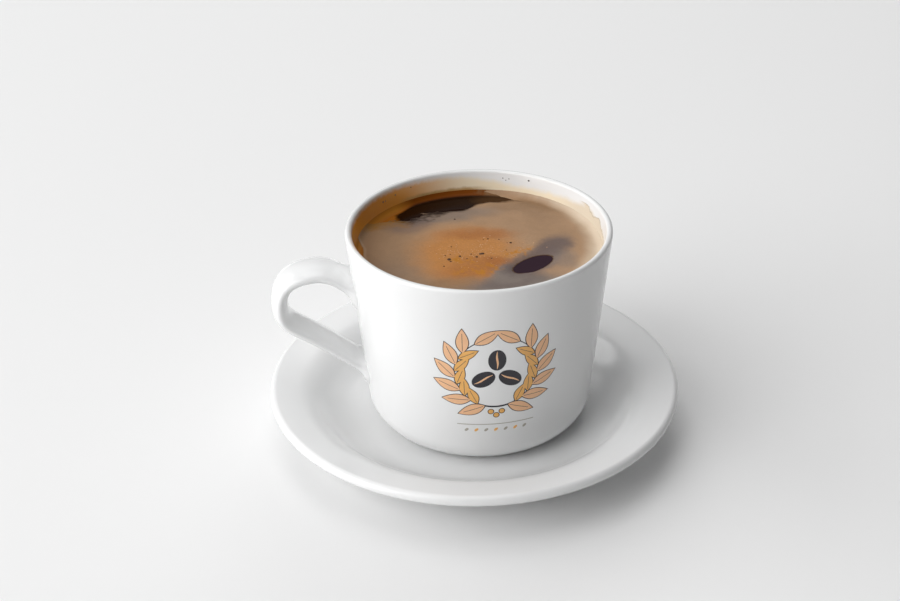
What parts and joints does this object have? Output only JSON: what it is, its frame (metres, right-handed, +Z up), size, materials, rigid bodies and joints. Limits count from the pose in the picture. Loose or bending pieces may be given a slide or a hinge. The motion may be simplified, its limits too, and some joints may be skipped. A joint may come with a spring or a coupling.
{
  "type": "cup of black coffee on a saucer",
  "caption": "Straight-sided white porcelain cup with a loop handle, filled with black coffee under a tan crema, standing on its round saucer.",
  "frame": {"origin": "middle of the saucer's underside, on the plane that its foot ring stands on", "axes": "+Z up, the handle points along -X, and the cup's decorated side faces -Y"},
  "size_m": [0.15, 0.15, 0.0824],
  "materials": {
    "porcelain": "white, glossy clear glaze",
    "coffee": "dark brown liquid with a wet shine",
    "crema": "thin tan foam, softly satin"
  },
  "bodies": {
    "root": {"saucer": "porcelain", "cup": "porcelain", "coffee": "coffee", "crema": "crema"}
  },
  "joints": []
}
